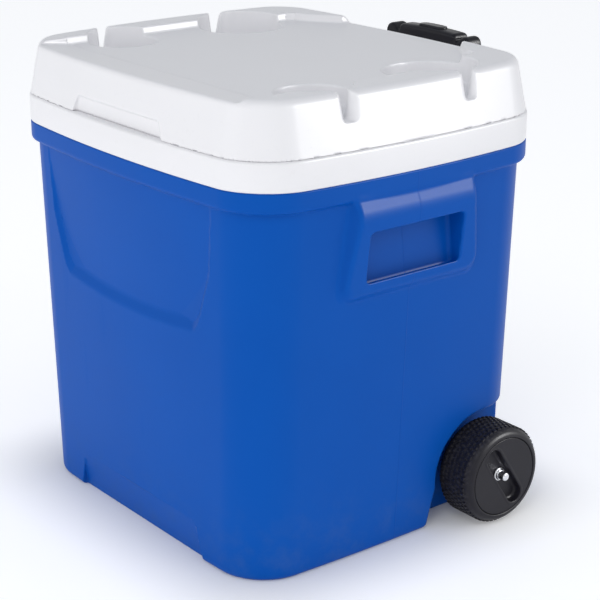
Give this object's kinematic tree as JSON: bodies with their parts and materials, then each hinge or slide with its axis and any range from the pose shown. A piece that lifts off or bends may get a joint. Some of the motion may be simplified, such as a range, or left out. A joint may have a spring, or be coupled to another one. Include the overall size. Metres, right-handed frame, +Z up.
{
  "type": "wheeled cooler",
  "caption": "Insulated cube cooler on wheels with a lift-off lid with cup recesses, moulded side handles and a telescopic tow handle behind.",
  "frame": {"origin": "on the ground plane, under the middle of the body's collar", "axes": "+X to the cooler's right side, +Y to the back where the tow handle is, +Z up"},
  "size_m": [0.497, 0.4428, 0.494],
  "materials": {
    "blue_shell": "satin",
    "foam": "matte",
    "white_plastic": "satin",
    "black_wheel": "satin",
    "black_fitting": "satin",
    "grip_plastic": "satin",
    "button_plastic": "satin",
    "zinc_steel": "polished",
    "tube_outer": "satin",
    "tube_inner": "satin"
  },
  "bodies": {
    "body": {"body_shell": "blue_shell", "foam_core": "foam", "liner": "white_plastic", "axle": "zinc_steel", "washer_left": "zinc_steel", "washer_right": "zinc_steel", "push_nut_left": "zinc_steel", "push_nut_right": "zinc_steel", "upper_bracket": "black_fitting", "lower_bracket": "black_fitting", "bracket_screws": "zinc_steel", "outer_tube_left": "tube_outer", "outer_tube_right": "tube_outer", "tube_cap_left": "black_fitting", "tube_cap_right": "black_fitting", "guide_bush_left": "black_fitting", "guide_bush_right": "black_fitting"},
    "lid": {"lid_shell": "white_plastic", "lid_foam": "foam", "lid_liner": "white_plastic"},
    "tow_handle": {"inner_tube_left": "tube_inner", "inner_tube_right": "tube_inner", "tube_glide_left": "black_fitting", "tube_glide_right": "black_fitting", "grip_lower": "grip_plastic", "grip_upper": "grip_plastic", "grip_screws": "zinc_steel", "button_spring": "zinc_steel"},
    "button": {"release_button": "button_plastic", "latch_bar": "zinc_steel"},
    "left_wheel": {"wheel_left": "black_wheel", "hub_disc_left": "black_wheel"},
    "right_wheel": {"wheel_right": "black_wheel", "hub_disc_right": "black_wheel"}
  },
  "joints": [
    {"name": "lid_lift", "type": "slide", "parent": "body", "child": "lid", "axis": [0, 0, 1], "range_m": [0, 0.15]},
    {"name": "handle_slide", "type": "slide", "parent": "body", "child": "tow_handle", "axis": [0, 0, 1], "range_m": [0, 0.3]},
    {"name": "button_press", "type": "slide", "parent": "tow_handle", "child": "button", "axis": [0, 0, -1], "range_m": [0, 0.004], "stiffness_N_per_m": 900, "springref_m": -0.006, "deforming": ["button_spring"]},
    {"name": "left_wheel_spin", "type": "hinge", "parent": "body", "child": "left_wheel", "pos_m": [-0.2205, 0.12, 0.055], "axis": [1, 0, 0], "continuous": true},
    {"name": "right_wheel_spin", "type": "hinge", "parent": "body", "child": "right_wheel", "pos_m": [0.2205, 0.12, 0.055], "axis": [1, 0, 0], "continuous": true}
  ]
}
